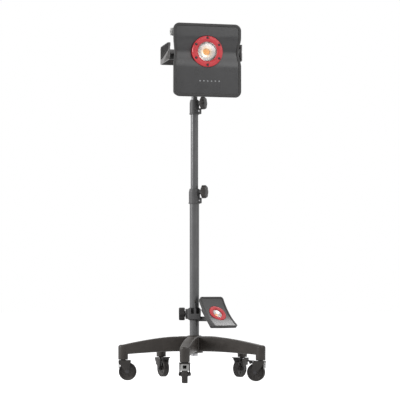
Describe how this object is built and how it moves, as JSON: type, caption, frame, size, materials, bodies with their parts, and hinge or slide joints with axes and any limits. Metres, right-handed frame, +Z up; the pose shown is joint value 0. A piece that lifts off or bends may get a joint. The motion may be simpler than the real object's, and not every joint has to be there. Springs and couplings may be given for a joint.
{
  "type": "wheeled light stand",
  "caption": "Rolling light stand: star base on casters, telescopic clamped mast, square lamp in a tilting yoke on top, small pad lamp clamped low on the mast.",
  "frame": {"origin": "on the floor, below the centre of the object's box; the mast's axis stands at x 0.0104, y 0.0146", "axes": "+Z up along the mast, -Y towards the front caster and the lamps' side, +X to the right as seen from the front"},
  "size_m": [0.6114, 0.609, 1.463],
  "materials": {
    "base_black": "satin, slightly scuffed black",
    "tube_grey": "satin dark grey",
    "collar_grey": "fine-grained grey",
    "knob_black": "matt black",
    "rubber_black": "matt black rubber",
    "wheel_black": "matt, dusty tread",
    "steel": "bright zinc-plated",
    "lamp_shell": "fine-grained dark grey",
    "lamp_face": "satin dark grey",
    "lamp_red": "satin red",
    "reflector": "mirror-bright",
    "lens_clear": "clear",
    "led_yellow": "yellow phosphor on a flat board"
  },
  "bodies": {
    "base": {"hub": "base_black", "pole_bolt": "steel", "leg_front": "base_black", "leg_right": "base_black", "leg_rear_right": "base_black", "leg_rear_left": "base_black", "leg_left": "base_black", "caster_front_stem": "steel", "caster_right_stem": "steel", "caster_rear_right_stem": "steel", "caster_rear_left_stem": "steel", "caster_left_stem": "steel", "lower_tube": "tube_grey", "middle_collar": "collar_grey"},
    "front_swivel": {"caster_front_fork": "knob_black", "caster_front_axle": "steel"},
    "front_wheel": {"caster_front_wheel": "wheel_black"},
    "front_brake": {"caster_front_brake": "rubber_black"},
    "right_swivel": {"caster_right_fork": "knob_black", "caster_right_axle": "steel"},
    "right_wheel": {"caster_right_wheel": "wheel_black"},
    "right_brake": {"caster_right_brake": "rubber_black"},
    "rear_right_swivel": {"caster_rear_right_fork": "knob_black", "caster_rear_right_axle": "steel"},
    "rear_right_wheel": {"caster_rear_right_wheel": "wheel_black"},
    "rear_right_brake": {"caster_rear_right_brake": "rubber_black"},
    "rear_left_swivel": {"caster_rear_left_fork": "knob_black", "caster_rear_left_axle": "steel"},
    "rear_left_wheel": {"caster_rear_left_wheel": "wheel_black"},
    "rear_left_brake": {"caster_rear_left_brake": "rubber_black"},
    "left_swivel": {"caster_left_fork": "knob_black", "caster_left_axle": "steel"},
    "left_wheel": {"caster_left_wheel": "wheel_black"},
    "middle_mast": {"middle_tube": "tube_grey", "middle_guide_plug": "rubber_black", "upper_collar": "collar_grey"},
    "middle_knob": {"middle_collar_knob": "knob_black"},
    "upper_knob": {"upper_collar_knob": "knob_black"},
    "top_mast": {"top_tube": "tube_grey", "top_guide_plug": "rubber_black"},
    "yoke": {"lamp_yoke": "lamp_shell", "yoke_socket": "collar_grey", "grip_left": "rubber_black", "grip_right": "rubber_black"},
    "yoke_knob": {"socket_knob": "knob_black"},
    "lamp": {"lamp_bezel": "lamp_shell", "lamp_face": "lamp_face", "lamp_housing": "lamp_shell", "lamp_ring": "lamp_red", "lamp_lens": "lens_clear", "lamp_reflector": "reflector", "lamp_led": "led_yellow", "lamp_battery": "rubber_black"},
    "button": {"power_button": "lamp_red"},
    "liner": {"clamp_liner": "rubber_black"},
    "clamp": {"pad_clamp": "collar_grey"},
    "clamp_screw": {"clamp_knob": "knob_black"},
    "pad": {"pad_housing": "lamp_shell", "pad_ring": "lamp_red", "pad_lens": "lens_clear"}
  },
  "joints": [
    {"name": "front_swivel_turn", "type": "hinge", "parent": "base", "child": "front_swivel", "pos_m": [-0.02733, -0.28403, 0.08], "axis": [0, 0, 1], "continuous": true},
    {"name": "front_wheel_spin", "type": "hinge", "parent": "front_swivel", "child": "front_wheel", "pos_m": [-0.02733, -0.26503, 0.03718], "axis": [-1, 0, 0], "continuous": true},
    {"name": "front_brake_press", "type": "hinge", "parent": "front_swivel", "child": "front_brake", "pos_m": [-0.02733, -0.25703, 0.0805], "axis": [-1, 0, 0], "range_deg": [0, 8]},
    {"name": "right_swivel_turn", "type": "hinge", "parent": "base", "child": "right_swivel", "pos_m": [0.28275, -0.11356, 0.08], "axis": [0, 0, 1], "continuous": true},
    {"name": "right_wheel_spin", "type": "hinge", "parent": "right_swivel", "child": "right_wheel", "pos_m": [0.26432, -0.10896, 0.03718], "axis": [-0.2419, -0.9703, 0], "continuous": true},
    {"name": "right_brake_press", "type": "hinge", "parent": "right_swivel", "child": "right_brake", "pos_m": [0.25655, -0.10703, 0.0805], "axis": [-0.2419, -0.9703, 0], "range_deg": [0, 8]},
    {"name": "rear_right_swivel_turn", "type": "hinge", "parent": "base", "child": "rear_right_swivel", "pos_m": [0.21645, 0.23402, 0.08], "axis": [0, 0, 1], "continuous": true},
    {"name": "rear_right_wheel_spin", "type": "hinge", "parent": "rear_right_swivel", "child": "rear_right_wheel", "pos_m": [0.20528, 0.21865, 0.03718], "axis": [0.809, -0.5878, 0], "continuous": true},
    {"name": "rear_right_brake_press", "type": "hinge", "parent": "rear_right_swivel", "child": "rear_right_brake", "pos_m": [0.20058, 0.21218, 0.0805], "axis": [0.809, -0.5878, 0], "range_deg": [0, 8]},
    {"name": "rear_left_swivel_turn", "type": "hinge", "parent": "base", "child": "rear_left_swivel", "pos_m": [-0.13461, 0.27837, 0.08], "axis": [0, 0, 1], "continuous": true},
    {"name": "rear_left_wheel_spin", "type": "hinge", "parent": "rear_left_swivel", "child": "rear_left_wheel", "pos_m": [-0.12569, 0.26159, 0.03718], "axis": [0.8829, 0.4695, 0], "continuous": true},
    {"name": "rear_left_brake_press", "type": "hinge", "parent": "rear_left_swivel", "child": "rear_left_brake", "pos_m": [-0.12193, 0.25453, 0.0805], "axis": [0.8829, 0.4695, 0], "range_deg": [0, 8]},
    {"name": "left_swivel_turn", "type": "hinge", "parent": "base", "child": "left_swivel", "pos_m": [-0.28527, -0.0418, 0.08], "axis": [0, 0, 1], "continuous": true},
    {"name": "left_wheel_spin", "type": "hinge", "parent": "left_swivel", "child": "left_wheel", "pos_m": [-0.26627, -0.0418, 0.03718], "axis": [0, 1, 0], "continuous": true},
    {"name": "middle_tube_slide", "type": "slide", "parent": "base", "child": "middle_mast", "axis": [0, 0, 1], "range_m": [-0.3, 0.19]},
    {"name": "middle_knob_turn", "type": "hinge", "parent": "base", "child": "middle_knob", "pos_m": [0.05225, 0.001, 0.786], "axis": [0.9511, -0.309, 0], "range_deg": [0, 180]},
    {"name": "upper_knob_turn", "type": "hinge", "parent": "middle_mast", "child": "upper_knob", "pos_m": [0.04797, 0.00239, 1.16], "axis": [0.9511, -0.309, 0], "range_deg": [0, 180]},
    {"name": "top_tube_slide", "type": "slide", "parent": "middle_mast", "child": "top_mast", "axis": [0, 0, 1], "range_m": [-0.115, 0.33]},
    {"name": "lamp_pan", "type": "hinge", "parent": "top_mast", "child": "yoke", "pos_m": [0.0104, 0.0146, 1.35], "axis": [0, 0, 1], "range_deg": [-160, 160]},
    {"name": "yoke_knob_turn", "type": "hinge", "parent": "yoke", "child": "yoke_knob", "pos_m": [0.00218, 0.04965, 1.33], "axis": [-0.2283, 0.9736, 0], "range_deg": [0, 180]},
    {"name": "lamp_tilt", "type": "hinge", "parent": "yoke", "child": "lamp", "pos_m": [0.04876, -0.14896, 1.332], "axis": [0.9736, 0.2283, 0], "range_deg": [-90, 45]},
    {"name": "power_press", "type": "slide", "parent": "lamp", "child": "button", "axis": [-0.2283, 0.9736, 0], "range_m": [-0.002, 0], "stiffness_N_per_m": 300},
    {"name": "clamp_slide", "type": "slide", "parent": "base", "child": "liner", "axis": [0, 0, 1], "range_m": [-0.025, 0.38]},
    {"name": "clamp_turn", "type": "hinge", "parent": "liner", "child": "clamp", "pos_m": [0.0104, 0.0146, 0.274], "axis": [0, 0, 1], "range_deg": [-170, 170]},
    {"name": "clamp_knob_turn", "type": "hinge", "parent": "clamp", "child": "clamp_screw", "pos_m": [-0.0421, 0.0146, 0.274], "axis": [-1, 0, 0], "range_deg": [0, 180]},
    {"name": "pad_tilt", "type": "hinge", "parent": "clamp", "child": "pad", "pos_m": [0.08992, -0.02336, 0.25084], "axis": [0.8088, 0.5881, 0], "range_deg": [-12, 20]}
  ]
}
